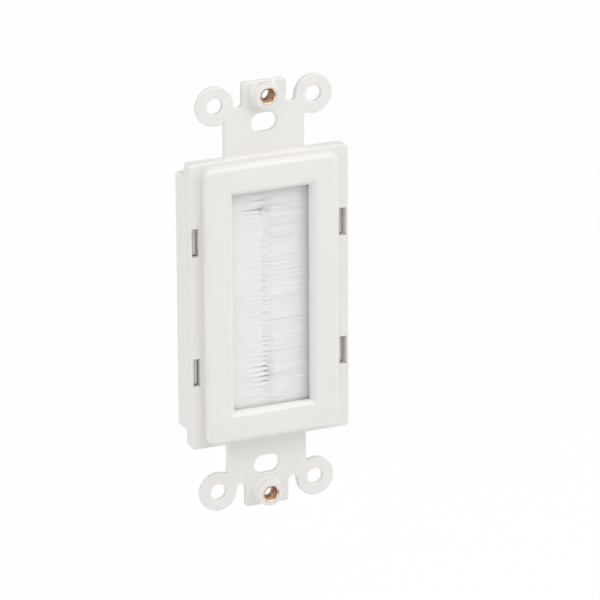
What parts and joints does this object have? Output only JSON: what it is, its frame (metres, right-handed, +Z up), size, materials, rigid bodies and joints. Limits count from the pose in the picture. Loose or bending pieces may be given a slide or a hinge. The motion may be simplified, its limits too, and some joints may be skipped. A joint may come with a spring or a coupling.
{
  "type": "brush cable grommet",
  "caption": "Plastic cable grommet with a rectangular bezel on an eared fixing strap, facing rows of brush bristles that close the cable window, and a clip-on rear housing.",
  "frame": {"origin": "on the wall plane at the back of the fixing strap, midway between the two box-screw slots", "axes": "+Z up along the strap, +X to the right as seen from the room, +Y into the wall"},
  "size_m": [0.04, 0.0108, 0.1032],
  "materials": {
    "frame_plastic": "fine satin moulding",
    "housing_plastic": "fine satin moulding",
    "insert_brass": "turned",
    "channel_metal": "folded strip",
    "core_wire": "drawn wire",
    "bristle_nylon": "fine filaments"
  },
  "bodies": {
    "root": {"front_frame": "frame_plastic", "rear_housing": "housing_plastic", "upper_insert": "insert_brass", "lower_insert": "insert_brass", "left_brush_channel": "channel_metal", "right_brush_channel": "channel_metal", "left_core_wire": "core_wire", "right_core_wire": "core_wire", "left_bristles": "bristle_nylon", "right_bristles": "bristle_nylon"}
  },
  "joints": []
}
